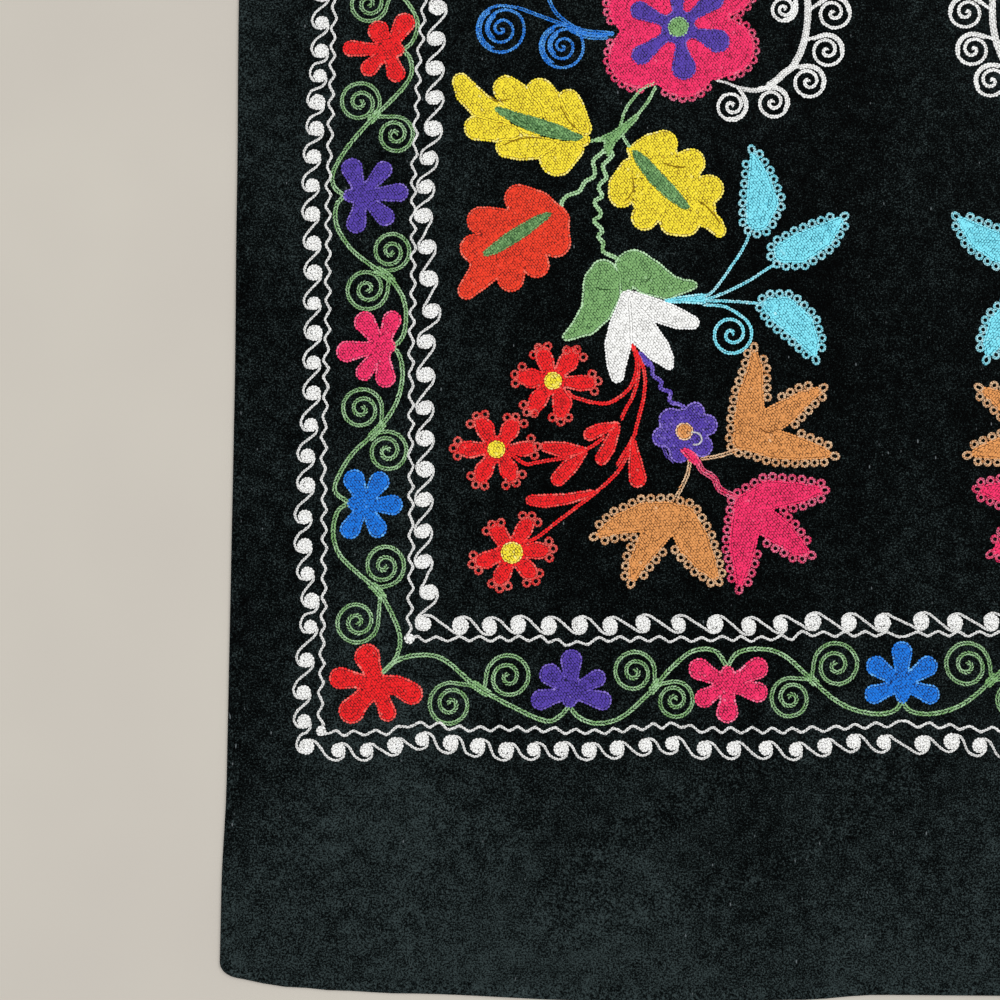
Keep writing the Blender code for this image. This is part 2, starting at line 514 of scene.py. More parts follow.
def stitched_mesh(piece, material):
    """Copies of the strands for all a piece's stitches, laid on the cloth as one mesh."""
    dice = np.random.RandomState(len(piece) * 7919 + sum(map(ord, piece)))
    strands = np.concatenate(worked[piece])
    one_each = (len(strands), 1)
    x, y, cosine, sine, length, width, lift, kind, raised = strands.T[:, :, None]
    kind = kind[:, 0].astype(int)
    corner = STRAND_CORNERS[kind]
    turn = dice.normal(0, TURN_SPREAD, one_each)
    cosine, sine = cosine - sine * turn, sine + cosine * turn
    across = corner[:, :, 0] * width * dice.normal(1, WIDTH_SPREAD, one_each)
    across += dice.normal(0, ASIDE_SPREAD, one_each)
    along = (corner[:, :, 1] + dice.normal(0, ALONG_SPREAD, one_each)) * length
    rise = corner[:, :, 2] * STITCH_RISE * dice.normal(1, RISE_SPREAD, one_each) + raised
    cut_x = (x + cosine * along - sine * across) / 1000
    cut_y = (y + sine * along + cosine * across) / 1000
    laid_x, laid_y = lay(cut_x, cut_y)
    height = swell_height(laid_x, laid_y) + hem_height(cut_x, cut_y) + (rise - STITCH_SINK) / 1000
    spots = np.stack([laid_x, laid_y, height], axis=2)
    first = np.arange(len(strands))[:, None, None] * len(CORNERS)
    loops = (first + STRAND_FACES[kind]).ravel()
    # Tone: each stitch differs at random, lines and rims are painted lighter by their lift as
    # sheen, and a few glints are painted highlights
    glint = GLINT * (dice.uniform(0, 1, one_each) < GLINTING)
    tones = np.clip(0.5 + lift + dice.normal(0, TONE_SPREAD, one_each) + glint, 0, 1)
    # Each strand's map runs along it, from a place of its own in the pattern
    strand_map = np.stack([corner[:, :, 0] * 2, corner[:, :, 1]], axis=2)
    strand_map[:, :, 1] += dice.uniform(0, 9, one_each)
    shades = STRAND_SHADES[kind] * dice.normal(1, SHADE_SPREAD, one_each)

    def put(where, name, values):
        where.foreach_set(name, values.astype(np.float32).ravel())

    mesh = bpy.data.meshes.new(piece)
    mesh.vertices.add(len(strands) * len(CORNERS))
    put(mesh.vertices, "co", spots)
    mesh.loops.add(len(loops))
    mesh.loops.foreach_set("vertex_index", loops.astype(np.int32))
    mesh.polygons.add(len(loops) // 3)
    mesh.polygons.foreach_set("loop_start", np.arange(0, len(loops), 3, dtype=np.int32))
    mesh.update(calc_edges=True)
    mesh.validate()
    put(mesh.attributes.new("tone", "FLOAT", "POINT").data, "value", tones.repeat(len(CORNERS), 1))
    put(mesh.attributes.new("shade", "FLOAT", "POINT").data, "value", shades)
    put(mesh.uv_layers.new(name="strand").data, "uv", strand_map.reshape(-1, 2)[loops])
    mesh.shade_smooth()
    mesh.set_sharp_from_angle(angle=THREAD_ANGLE)
    mesh.materials.append(material)
    stitches = bpy.data.objects.new(piece, mesh)
    bpy.context.collection.objects.link(stitches)
    return stitches


# Filled shapes

# Shapes are mapped on a grid of this step, as far round them as the margin
MAP_STEP, MAP_MARGIN = 0.7, 8
# Strokes that are further than this from a place add nothing there, in softnesses
TOO_FAR = 60
FILL_SPACING, FILL_PITCH = 1.75, 2.6
RIM_WIDTH, RIM_PITCH = 2.6, 2.3
# The filling starts this many rim widths in, and the rim's painted highlight reaches up to this
# many in
FILL_INSET, RIM_FADE = 0.8, 1.6
# The outer strands of a rim are painted lighter, as a highlight on the shape's edge, and small
# loops are lighter than other lines
OUTLINE_SHEEN, LOOP_LIFT = 0.28, 0.34
LOOP_WIDTH, LOOP_PITCH = 1.5, 1.8
# Which way the filling slants, in degrees
HATCH = -50
# How far strokes worked by themselves reach past the seam between them, and how far a shape
# reaches under what it is cut by
SEAM_CLOSING, TUCKED_UNDER = 0.35, 0.9
NOTCH_SOFTNESS = 0.9
# Lines round a shape, and fill rows, that are too short to work
LEAST_LINE, LEAST_ROW = 5, 1
# For each way that a map cell's corners can lie inside: which of its sides the line joins
CELL_LINES = {
    1: ((3, 0),), 2: ((0, 1),), 3: ((3, 1),), 4: ((1, 2),), 5: ((3, 0), (1, 2)), 6: ((0, 2),),
    7: ((3, 2),), 8: ((2, 3),), 9: ((2, 0),), 10: ((0, 1), (2, 3)), 11: ((2, 1),), 12: ((1, 3),),
    13: ((1, 0),), 14: ((0, 3),),
}


def depth_in(shape, x, y, softness=NOTCH_SOFTNESS):
    """How deep places lie inside a shape: strokes of (x, y, radius) rows, melted together."""
    total = np.zeros_like(x)
    for stroke in shape:
        deepest = np.full_like(x, -TOO_FAR * softness)
        for (ax, ay, ar), (bx, by, br) in list(zip(stroke, stroke[1:])) or [(stroke[0], stroke[0])]:
            long = max((bx - ax) ** 2 + (by - ay) ** 2, 1e-6)
            share = np.clip(((x - ax) * (bx - ax) + (y - ay) * (by - ay)) / long, 0, 1)
            away = np.hypot(x - ax - share * (bx - ax), y - ay - share * (by - ay))
            deepest = np.maximum(deepest, ar + (br - ar) * share - away)
        total += np.exp(deepest / softness)
    return softness * np.log(total)


class Shape:
    """A shape to fill, mapped as depths on a fine grid. What it is cut by stays bare."""

    def __init__(self, strokes, cut_by=(), meets=(), softness=NOTCH_SOFTNESS):
        places = np.array([row for stroke in [*strokes, *meets] for row in stroke])
        reach = places[:, 2].max() + MAP_MARGIN
        low, high = places[:, :2].min(axis=0) - reach, places[:, :2].max(axis=0) + reach
        self.x, self.y = (np.arange(low[k], high[k], MAP_STEP) for k in (0, 1))
        grid = np.meshgrid(self.x, self.y, indexing="ij")
        self.depth = depth_in(strokes, *grid, softness)
        if meets:
            # Its edge runs along the seam, where it lies as deep in itself as in the others
            seam = self.depth - np.max([depth_in([stroke], *grid) for stroke in meets], axis=0)
            slope = np.maximum(np.hypot(*np.gradient(seam, MAP_STEP)), 0.35)
            whole = depth_in([*strokes, *meets], *grid)
            self.depth = np.minimum(whole, seam / slope + SEAM_CLOSING)
        for other in cut_by:
            self.depth = np.minimum(self.depth, TUCKED_UNDER - depth_in(other, *grid, softness))

    def at(self, x, y):
        across = np.clip((x - self.x[0]) / MAP_STEP, 0, len(self.x) - 1.001)
        along = np.clip((y - self.y[0]) / MAP_STEP, 0, len(self.y) - 1.001)
        i, j = across.astype(int), along.astype(int)
        u, v = across - i, along - j
        d = self.depth
        low = d[i, j] * (1 - u) + d[i + 1, j] * u
        return low * (1 - v) + (d[i, j + 1] * (1 - u) + d[i + 1, j + 1] * u) * v

    def lines(self, level):
        """Closed lines where the depth is level, the longer ones first."""
        d = self.depth - level
        inside = d > 0
        kind = (
            inside[:-1, :-1] * 1 + inside[1:, :-1] * 2 + inside[1:, 1:] * 4 + inside[:-1, 1:] * 8
        )
        follows, place = {}, {}
        for i, j in zip(*(side.tolist() for side in np.nonzero((kind > 0) & (kind < 15)))):
            sides = ((i, j, 0), (i + 1, j, 1), (i, j + 1, 0), (i, j, 1))
            for start, end in CELL_LINES[int(kind[i, j])]:
                follows[sides[start]] = sides[end]
        for i, j, way in follows:
            ni, nj = (i, j + 1) if way else (i + 1, j)
            share = d[i, j] / (d[i, j] - d[ni, nj])
            place[(i, j, way)] = (
                self.x[i] + MAP_STEP * share * (ni - i),
                self.y[j] + MAP_STEP * share * (nj - j),
            )
        found = []
        while follows:
            start, step = follows.popitem()
            line = [start]
            while step != start and step in follows:
                line.append(step)
                step = follows.pop(step)
            path = np.array([place[key] for key in [*line, start]])
            if len(path) > 3 and np.hypot(*np.diff(path, axis=0).T).sum() >= LEAST_LINE:
                found.append(path)
        return sorted(found, key=len, reverse=True)

    def rows(self, inset):
        """Stops of the slanting strands that fill the shape where it is at least inset deep."""
        cosine, sine = math.cos(math.radians(HATCH)), math.sin(math.radians(HATCH))
        middle = np.array([self.x.mean(), self.y.mean()])
        half = math.hypot(self.x[-1] - self.x[0], self.y[-1] - self.y[0]) / 2
        run = np.arange(-half, half, 0.2)
        found = []
        for number in range(int(-half / FILL_SPACING), int(half / FILL_SPACING) + 1):
            side = number * FILL_SPACING
            x = middle[0] + run * cosine - side * sine
            y = middle[1] + run * sine + side * cosine
            deep = np.concatenate([[False], self.at(x, y) > inset, [False]])
            edges = np.nonzero(deep[1:] != deep[:-1])[0]
            # Every other row starts half a strand on, and none quite as the one before
            phase = FILL_PITCH * (number % 2 / 2 + 0.13 * math.sin(2.4 * number))
            for first, last in zip(run[edges[::2]], run[edges[1::2] - 1]):
                if last - first < LEAST_ROW:
                    continue
                low, high = (first - phase) / FILL_PITCH, (last - phase) / FILL_PITCH
                stops = np.arange(math.ceil(low + 0.5), high - 0.5) * FILL_PITCH + phase
                stops = np.concatenate([[first], stops, [last]])[:, None]
                found.append(middle + stops * (cosine, sine) + side * np.array([-sine, cosine]))
        return found


def disc(x, y, radius):
    return [(x, y, radius)]


def fill(piece, strokes, cut_by=(), width=RIM_WIDTH, copies=QUARTERS, split=False,
         edge=OUTLINE_SHEEN, softness=NOTCH_SOFTNESS, lift=0, raised=0):
    """Outlines a shape and fills it with slanting strands.

    Split, each of its strokes is outlined and filled by itself. The rim is painted lighter by edge,
    as a highlight, where it lies on the whole shape's outline.
    """
    whole = Shape(strokes, softness=softness)
    parts = [Shape(strokes, cut_by, softness=softness)]
    if split:
        parts = [
            Shape([stroke], cut_by, [other for other in strokes if other is not stroke])
            for stroke in strokes
        ]
    for line in [line for part in parts for line in part.lines(width / 2)]:
        rim = np.clip(RIM_FADE - whole.at(*line.T) / width, 0, 1)
        work(piece, line, width, copies, lift, RIM_PITCH, raised=raised, outward=edge * rim)
    for line in [line for part in parts for line in part.rows(width * FILL_INSET)]:
        work(piece, line, FILL_SPACING, copies, lift, FILL_PITCH, FILLING, raised, spaced=False)
    return whole


def ring_loop(piece, x, y, start, radius=2.6, stretch=1, lift=LOOP_LIFT, raised=0):
    """One small loop of stitches that starts and ends on the side towards the shape."""
    turn = np.linspace(0, 2 * math.pi, 20)
    along, across = radius * stretch * np.cos(turn), radius * np.sin(turn)
    cosine, sine = math.cos(start), math.sin(start)
    path = np.column_stack([x + cosine * along - sine * across, y + sine * along + cosine * across])
    work(piece, path, LOOP_WIDTH, lift=lift, pitch=LOOP_PITCH, raised=raised)


def loops_round(piece, shape, points=(), apart=7.3, out=2.8, where=None, lift=LOOP_LIFT):
    """Small loops standing side by side all round a shape, a longer one at each of its points."""
    placed = []
    for stroke in points:
        before, tip = stroke[-2:] if stroke[-1][2] < stroke[0][2] else stroke[1::-1]
        way = math.atan2(tip[1] - before[1], tip[0] - before[0])
        away = tip[2] + 1.8
        placed.append((tip[0] + away * math.cos(way), tip[1] + away * math.sin(way)))
        ring_loop(piece, *placed[-1], way + math.pi, 2.4, 1.4, lift)
    for line in shape.lines(-out):
        if len(line) < 30:
            continue
        for x, y in even(line, apart)[:-1]:
            if where is not None and not where(x, y):
                continue
            if all(math.hypot(x - px, y - py) > apart * 0.8 for px, py in placed):
                placed.append((x, y))
                # The shape lies the way that it gets deeper
                near = x + np.array([-1, -1, 1, 1]), y + np.array([-1, 1, -1, 1])
                deep = shape.at(*near)
                way_x = deep[2] + deep[3] - deep[0] - deep[1]
                way_y = deep[1] + deep[3] - deep[0] - deep[2]
                ring_loop(piece, x, y, math.atan2(way_y, way_x), lift=lift)


# How curls wind in: turns, and the share of the radius that is left after them
CURL_TURNS = (
    (0, 1), (0.45, 0.97), (0.8, 0.8), (1.15, 0.57), (1.5, 0.38), (1.75, 0.24), (2, 0.12),
    (2.2, 0.04),
)
VINE_TURNS = (
    (0, 1), (0.45, 0.97), (0.8, 0.8), (1.15, 0.57), (1.4, 0.46), (1.65, 0.35), (1.9, 0.23),
    (2.15, 0.13), (2.4, 0.05),
)
BLUE_TURNS = (
    (0, 1), (0.62, 1), (0.87, 0.97), (1, 0.83), (1.12, 0.67), (1.37, 0.58), (1.62, 0.57),
    (1.87, 0.46), (2.12, 0.31), (2.37, 0.23), (2.62, 0.17), (2.9, 0.05),
)


def scroll(piece, x, y, radius, joint_x, joint_y, hand, winding=CURL_TURNS, width=2, beyond=(),
           lift=LINE_SHEEN, kind=CLOSE):
    """A spiral curl: from a joint on its stem to the outer turn, then wound in to the middle.

    A hand of 1 winds leftwards, and of -1 rightwards. Beyond lists further rows inside it: how far
    in, and the parts of its length they run between.
    """
    away = math.hypot(joint_x - x, joint_y - y)
    start = math.atan2(joint_y - y, joint_x - x)
    if away > radius:
        start += hand * math.acos(radius / away)
    turns, shares = np.array(winding).T
    turned = np.linspace(0, turns[-1], 150)
    turn = start + hand * 2 * math.pi * turned
    reach = radius * np.interp(turned, turns, shares)
    wound = np.column_stack([x + reach * np.cos(turn), y + reach * np.sin(turn)])
    if away > radius + 0.5:
        wound = np.vstack([even([(joint_x, joint_y), wound[0]], 1)[:-1], wound])
    path = even(wound, 0.8)
    work(piece, path, width, lift=lift, kind=kind)
    for offset, first, last in beyond:
        part = beside(path, hand * offset)[int(first * len(path)) : int(last * len(path))]
        work(piece, part, width * 0.9, lift=lift, kind=kind)
    return path


# Borders

# The wound ball: where its row comes in, in degrees, and then degrees turned, and how far the
# row is from the ball's middle after them
BALL_START = 15
BALL_TURNS = ((0, 4.2), (300, 4), (400, 2.1), (640, 1.8), (720, 0.7), (800, 0.3))
# How far balls stray from their places, and the smallest and largest share of their size
BALL_STRAY, BALL_SIZES = 0.6, (0.92, 1.18)
BALL_WIDTH, WAVE_WIDTH, ZIGZAG_WIDTH = 2.1, 1.45, 1.5
# The line's places beside the ball it leaves and beside the ball it comes to
OUTER_LEAVING = ((0.6, -4.9), (4.8, -4.5), (8.2, -1.8))
OUTER_COMING = ((-9, 4.1), (-5.3, 6.6), (-1.6, 7.6), (1.6, 6.5), (4.1, 4.4))
INNER_LEAVING = ((-5, -0.8), (-3.9, -3.9), (-1, -5.8), (2.2, -6.3), (5.3, -5.4), (8, -3.6))
INNER_COMING = ((-6.6, 3.4), (-3.6, 5.5), (-0.6, 6), (2.2, 5.4), (4, 3.8))
# Balls from a corner to the middle of a side, in even steps between these: which ball, how far
# it is from the corner, and how far it stands out from the line
OUTER_SIDE = (
    (0, 0, -2), (1, 18, 2), (2, 40, 2.4), (4, 89, -1), (5, 108, -1.4), (6, 128, 2.3), (7, 148, 4),
    (10, 216, 3), (12, 263, -1), (16, 354, 0.3), (19, 421, 3.2), (21, 464, 1), (24, 524, -1.8),
    (29, 631, -2),
)
OUTER_END = (
    (0, 0, 0), (1, 23, 2.7), (2, 45, 2.3), (4, 85, -5), (7, 148, 2.3), (10, 209, 2.3),
    (13, 271, -2.5), (14, 294, 0.8), (17, 362, 1.9), (19, 405, -3.9), (20, 427, -3),
)
INNER_SIDE = (
    (0, 0, -0.5), (1, 23, -2.4), (2, 46, 1.6), (7, 161, 1.7), (9, 211, 1.2), (10, 234, -1.8),
    (12, 283, 1.8), (13, 307, 5.2), (15, 351, 1.2), (16, 374, -1.5), (20, 466, -4), (23, 535, -4),
)
INNER_END = (
    (0, 0, 0), (1, 27, 0.7), (2, 48, 2.2), (3, 70, 0.7), (6, 138, 1.8), (7, 162, 0), (9, 216, 0),
    (10, 241, 2.2), (12, 289, -1.5), (14, 341, -1.5),
)


def wave(piece, half_width, half_length, side_places, end_places, leaving, coming, size, seed):
    """Running wave: each line leaves one wound ball and swings round the outside of the next."""
    dice = np.random.RandomState(seed)
    degrees, radii = np.array(BALL_TURNS).T
    turned = np.arange(0, degrees[-1], 8)
    reach = size * np.interp(turned, degrees, radii)
    turn = np.radians(BALL_START - turned)
    wound = np.column_stack([reach * np.cos(turn), reach * np.sin(turn)])
    sides = (
        # start corner, heading, length, places
        ((-half_width, half_length), (0, -1), 2 * half_length, side_places),
        ((-half_width, -half_length), (1, 0), 2 * half_width, end_places),
        ((half_width, -half_length), (0, 1), 2 * half_length, side_places),
        ((half_width, half_length), (-1, 0), 2 * half_width, end_places),
    )
    for corner, heading, length, places in sides:
        outward = np.array((heading[1], -heading[0]))
        number, *rows = np.array(places, float).T
        half, half_outs = (np.interp(np.arange(1, number[-1] + 1), number, row) for row in rows)
        balls = np.concatenate([half, length - half[::-1], [length]])
        outs = np.concatenate([half_outs, half_outs[::-1], [0]])
        last, last_out = 0, 0
        for ball, out in zip(balls, outs):
            if ball != length:
                ball += dice.uniform(-BALL_STRAY, BALL_STRAY)
                out += dice.uniform(-BALL_STRAY, BALL_STRAY)
            line = [(last + t * size, last_out + w * size) for t, w in leaving]
            line += [(ball + t * size, out + w * size) for t, w in coming]
            turns = wound * dice.uniform(*BALL_SIZES) + (ball, out)
            line = smooth([*line, turns[0]])
            path = np.concatenate([line[:-1], turns])
            place = corner + path[:, :1] * heading + path[:, 1:] * outward
            work(piece, place[: len(line)], WAVE_WIDTH, DRAWN_ONLY)
            work(piece, place[len(line) - 1 :], BALL_WIDTH, DRAWN_ONLY, pitch=2.1)
            last, last_out = ball, out


OUTER_ZIGZAG = (
    (-430, 0), (-430, -85), (-431, -155), (-432, -231), (-431, -307), (-432, -420), (-430, -532),
    (-431.5, -605), (-430.5, -627), (-424, -630), (-383, -630), (-365, -624), (-342, -624),
    (-333, -627), (-268, -627), (-250, -629), (-224, -629), (-194, -626), (-165, -624),
    (-146, -628), (-76, -628), (-61, -627), (0, -623),
)
INNER_ZIGZAG = (
    (-360, 0), (-362, -85), (-364.8, -124), (-366, -162), (-368, -223), (-367, -307), (-368, -345),
    (-365.5, -502), (-366, -560), (-358, -560.5), (-269, -560.5), (-243, -565), (-224, -561),
    (-150, -561), (-83, -560), (-76, -557), (0, -557),
)
# Half a zigzag's length, and how far it swings to each side
HALF_ZIGZAG, ZIGZAG_SWING = 7.5, 2.3


def zigzag(piece, course, seed):
    dice = np.random.RandomState(seed)
    course = even(course, 0.5)
    run, turns, side = 0, [], 1
    while run < len(course) * 0.5 - 3:
        turns.append((run, side * ZIGZAG_SWING * dice.uniform(0.75, 1.2)))
        run += HALF_ZIGZAG * dice.uniform(0.82, 1.18)
        side = -side
    swings = np.interp(np.arange(len(course)) * 0.5, *np.array(turns).T)
    path = beside(course, swings[:, None])
    # Its corners are softened, and it is worked in parts that each stray a little when mirrored
    padded = np.pad(path, ((2, 2), (0, 0)), mode="edge")
    path = np.column_stack([np.convolve(row, np.ones(5) / 5, "valid") for row in padded.T])
    for start in range(0, len(path) - 1, 120):
        work(piece, path[start : start + 121], ZIGZAG_WIDTH)


wave("outer_wave", 441, 640, OUTER_SIDE, OUTER_END, OUTER_LEAVING, OUTER_COMING, 1, 11)
wave("inner_wave", 355, 549.5, INNER_SIDE, INNER_END, INNER_LEAVING, INNER_COMING, 1.04, 12)
zigzag("zigzag_lines", OUTER_ZIGZAG, 21)
zigzag("zigzag_lines", INNER_ZIGZAG, 22)
fill("zigzag_lines", [disc(-430.5, -628.5, 3.6)])
fill("zigzag_lines", [disc(-366, -560.5, 3.6)])

# Vine

VINE = (
    # Each swing runs from one flower's foot to the next
    ((-420, 0), (-427, -10), (-419, -27), (-399, -56), (-376, -77), (-366.5, -94), (-370, -109),
     (-377, -115.5)),
    ((-377, -115.5), (-371, -124), (-372, -138), (-385, -154), (-401, -170), (-417, -189),
     (-428, -208), (-428, -220), (-420, -227.5)),
    ((-420, -227.5), (-426, -236), (-425, -251), (-414, -268), (-398, -281), (-384, -291),
     (-374, -306), (-372, -323), (-375, -336), (-381.5, -342)),
    ((-381.5, -342), (-376, -350), (-374, -366), (-379, -386), (-392, -405), (-410, -422),
     (-421, -440), (-423, -451), (-412.5, -459.5)),
    ((-412.5, -459.5), (-421, -466), (-424, -482), (-419, -498), (-405, -512), (-389, -526),
     (-378, -545), (-373, -560), (-376, -575), (-386.5, -586.5)),
    ((-386.5, -586.5), (-376, -577), (-358, -572.5), (-340, -576), (-318, -594), (-296, -607),
     (-265, -621), (-253, -617), (-247, -610)),
    ((-247, -610), (-240, -618), (-227, -623), (-209, -619), (-190, -603), (-171, -582),
     (-155, -569.5), (-139, -569.5), (-129.5, -581)),
    ((-129.5, -581), (-122, -571), (-106, -568), (-89, -572), (-72, -586), (-52, -604),
     (-35, -613), (-17, -616), (-5, -613), (0, -606)),
)
VINE_CURLS = (
    # x, y, radius, and where it leaves the vine; by turns they wind left and right
    (-385.5, -48.5, 14, -391, -63), (-403.5, -80, 13.5, -386, -69),
    (-409, -156, 15, -397.5, -168.5), (-382, -180.5, 13.5, -396, -167),
    (-384, -270, 14, -392, -285.5), (-401.5, -298.5, 15.5, -385, -289),
    (-404, -389, 15, -389.5, -402.5), (-384.5, -420.5, 14.5, -395, -407.5),
    (-385.5, -506.5, 15, -392, -523), (-405, -548, 15.5, -388, -527),
    (-335, -608.5, 15.5, -316, -595.5), (-292.5, -588.5, 16, -310, -599),
    (-198.5, -585, 15, -183.5, -596.5), (-168.5, -605.5, 13.5, -183, -595),
    (-82.5, -604, 14.5, -67.5, -590.5), (-49, -580, 16.5, -67, -591),
)
# The vine's thread is lighter: partly its paler green, partly painted sheen on the raised rows
VINE_LIFT = 0.34
VINE_WIDTH, VINE_CURL_WIDTH, JOINT_WIDTH = 3.7, 3.3, 2.1
swings = [smooth(swing) for swing in VINE]
for swing in swings:
    work("vine", swing, VINE_WIDTH, pitch=2.4, lift=VINE_LIFT, kind=CHAIN)
joints = []
for number, curl in enumerate(VINE_CURLS):
    hand = -1 if number % 2 else 1
    row = scroll("vine", *curl, hand, VINE_TURNS, VINE_CURL_WIDTH, lift=VINE_LIFT, kind=CHAIN)
    joints.append(row[0])
# The vine is wider, by a row on each side, where a pair of curls leaves it
vine = np.concatenate(swings)
for pair in zip(joints[::2], joints[1::2]):
    first, last = sorted(int(np.argmin(np.hypot(*(vine - joint).T))) for joint in pair)
    for offset in (-1.8, 1.8):
        row = beside(vine, offset)[first - 5 : last + 6]
        work("vine", row, JOINT_WIDTH, lift=VINE_LIFT - 0.05, raised=0.05)

# Border flowers

BORDER_FLOWERS = (
    # colour, heart, foot, petals as (direction in degrees, reach, tip radius), copies
    ("red", (-388.5, -116), (-377, -115.5),
     ((177, 28, 6.2), (117, 16.5, 8), (60, 24, 8), (-136, 19.5, 6.5), (-70, 18.5, 7)), QUARTERS),
    ("purple", (-406.5, -227.5), (-420, -227.5),
     ((111, 22, 8), (51, 25.5, 6.5), (5, 28, 7), (-42, 24, 7), (-101, 21.5, 7.5)), QUARTERS),
    ("pink", (-389.5, -342.5), (-381.5, -342),
     ((-173, 26.5, 8), (125, 23, 8), (71, 21.5, 7), (-125, 23, 6.5), (-83, 23, 7.5)), QUARTERS),
    ("blue", (-401, -461), (-412.5, -459.5),
     ((113, 20, 8), (58, 20.5, 7.5), (0, 21, 7.5), (-60, 20, 7), (-120, 20.5, 7.5)), QUARTERS),
    ("purple", (-245.5, -599.5), (-247, -610),
     ((90, 23, 8), (141, 20, 8), (-165, 23, 7.5), (27, 21.5, 6.5), (-16, 24, 7)), QUARTERS),
    ("pink", (-129.5, -594), (-129.5, -581),
     ((152, 23.5, 8), (28, 25, 8), (-149, 20, 7), (-15, 23, 7.5), (-90, 20.5, 8)), QUARTERS),
    ("blue", (-408, 0), (-420, 0),
     ((0, 26, 7.5), (55, 24, 7.5), (-55, 24, 7.5), (112, 21, 7.5), (-112, 21, 7.5)), MIDDLE_TOP),
    ("blue", (0, -594), (0, -607),
     ((90, 24, 7.5), (35, 23, 7.5), (145, 23, 7.5), (-20, 22, 7), (200, 22, 7)), MIDDLE_RIGHT),
)
CORNER_FLOWER = (
    [(-388, -589.5, 1.5), (-390, -594, 6.5)],
    [(-390, -594, 6.5), (-394, -582, 7), (-397, -574, 9.5)],
    [(-391.5, -596, 6), (-404.5, -591, 5.5), (-417, -589.5, 8)],
    [(-391.5, -596.5, 6.5), (-402.5, -607, 7.5), (-408, -613.5, 9.5)],
    [(-389.5, -596.5, 6), (-384, -608.5, 5.5), (-381.5, -615, 6.5)],
    [(-388.5, -594.5, 6.5), (-375.5, -594.5, 7), (-367, -599, 8), (-363.5, -601, 8)],
)
NECK = 5


def petalled(heart, foot, petals):
    """Strokes from the foot to the heart, and from there out to each petal's tip."""
    waist = [start + 0.35 * (end - start) for start, end in zip(foot, heart)]
    strokes = [[(*foot, 1.6), (*waist, NECK), (*heart, NECK + 1)]]
    for direction, reach, tip in petals:
        way = math.radians(direction)
        end = heart[0] + reach * math.cos(way), heart[1] + reach * math.sin(way)
        middle = [start + 0.5 * (stop - start) for start, stop in zip(heart, end)]
        strokes.append([(*heart, NECK), (*middle, 0.5 * NECK + 0.36 * tip), (*end, tip)])
    return strokes


for shade, heart, foot, petals, copies in BORDER_FLOWERS:
    fill(shade + "_border_flowers", petalled(heart, foot, petals), copies=copies)
fill("red_border_flowers", CORNER_FLOWER)

# Rosette

HEART_X, HEART_Y = -168.5, -98.5
ROSETTE_PETALS = (
    (-196.5, -120, 7.4), (-164, -129.5, 9.3), (-138.5, -109, 9), (-142, -77, 8),
    (-169.5, -67.5, 8), (-197.5, -85.5, 7.2),
)
ROSETTE_LOBES = (
    (HEART_X, HEART_Y, 38), (-197, -121, 24), (-164, -130, 22), (-132, -114, 21.5),
    (-134, -67, 22.5), (-167, -64.5, 23), (-199, -81, 23), (-139, -133, 5),
)
core = [disc(HEART_X, HEART_Y, 11)]
for x, y, tip in ROSETTE_PETALS:
    neck = (HEART_X + 0.45 * (x - HEART_X), HEART_Y + 0.45 * (y - HEART_Y), 3.6)
    core.append([(HEART_X, HEART_Y, 3), neck, (x, y, tip)])
eye = [disc(HEART_X, HEART_Y, 8)]
ground = [disc(*lobe) for lobe in ROSETTE_LOBES]
soft = {"softness": 2.2, "edge": 0.2}
fill("pink_rosette", ground, cut_by=[core], **soft)
fill("purple_rosette_core", core, cut_by=[eye], raised=0.35, **soft)
fill("green_leafwork", eye, raised=0.5)


def bare_edge(x, y):
    """No loops stand where a stem meets the rosette."""
    at_notch = -196 < x < -182 and y < -92
    at_stem = min(math.hypot(x + 139, y + 139), math.hypot(x + 214, y + 102)) <= 5.5
    return not at_notch and not at_stem


loops_round("pink_rosette", Shape(ground), apart=7.2, out=1.1, where=bare_edge)

# White wreath

WREATH_STEM = (
    (-139, -139), (-131.5, -141), (-124, -144), (-115.5, -145.5), (-108, -146), (-100.5, -143.5),
    (-93, -138.5), (-87.5, -133), (-81.5, -128.5), (-75, -116), (-71, -100), (-70, -80),
    (-73, -60), (-84, -45), (-96, -38),
)
WREATH_CURLS = (
    (-127.5, -158.5, 11.5, -123, -144.5), (-96.5, -156, 12, -108.5, -145.5),
    (-69.5, -140, 12.5, -85, -130), (-55.5, -116, 12.5, -74, -109), (-50.5, -87, 13, -70, -86),
    (-53, -58, 12, -72, -64), (-88, -84, 9.5, -79, -66),
)
stem = smooth(WREATH_STEM)
for offset, start in ((0, 0), (-1.6, 0.13), (1.6, 0.24)):
    work("white_wreath", beside(stem, offset)[int(len(stem) * start) :], 1.6)
for curl in WREATH_CURLS:
    scroll("white_wreath", *curl, -1, beyond=((1.2, 0.08, 0.36),))

# Blue scrolls

BLUE_STEMS = (
    ((-217, -103), (-226, -102), (-238, -101), (-249, -97), (-262, -86), (-268, -72), (-268, -58)),
    ((-217, -103), (-227, -104), (-238, -103), (-250, -98), (-269, -91), (-290, -83)),
)
BLUE_CURLS = ((-303, -99.5, 18, -290, -83), (-256.5, -113, 16.5, -243, -99))
# Second rows inside each curl
BLUE_BEYOND = ((2.3, 0.11, 0.3), (1.8, 0.62, 0.73))
for stem in BLUE_STEMS:
    line = smooth(stem)
    work("blue_scrolls", line, 3.2, lift=0.3, kind=CHAIN)
    work("blue_scrolls", beside(line, 2.6)[6:44], 3, lift=0.3, kind=CHAIN)
for curl in BLUE_CURLS:
    scroll("blue_scrolls", *curl, 1, BLUE_TURNS, 1.75, BLUE_BEYOND, lift=0.3)
scroll("blue_scrolls", -281, -56, 13.5, -268, -62, 1, lift=0.3)

# Green stems, calyx and white bell

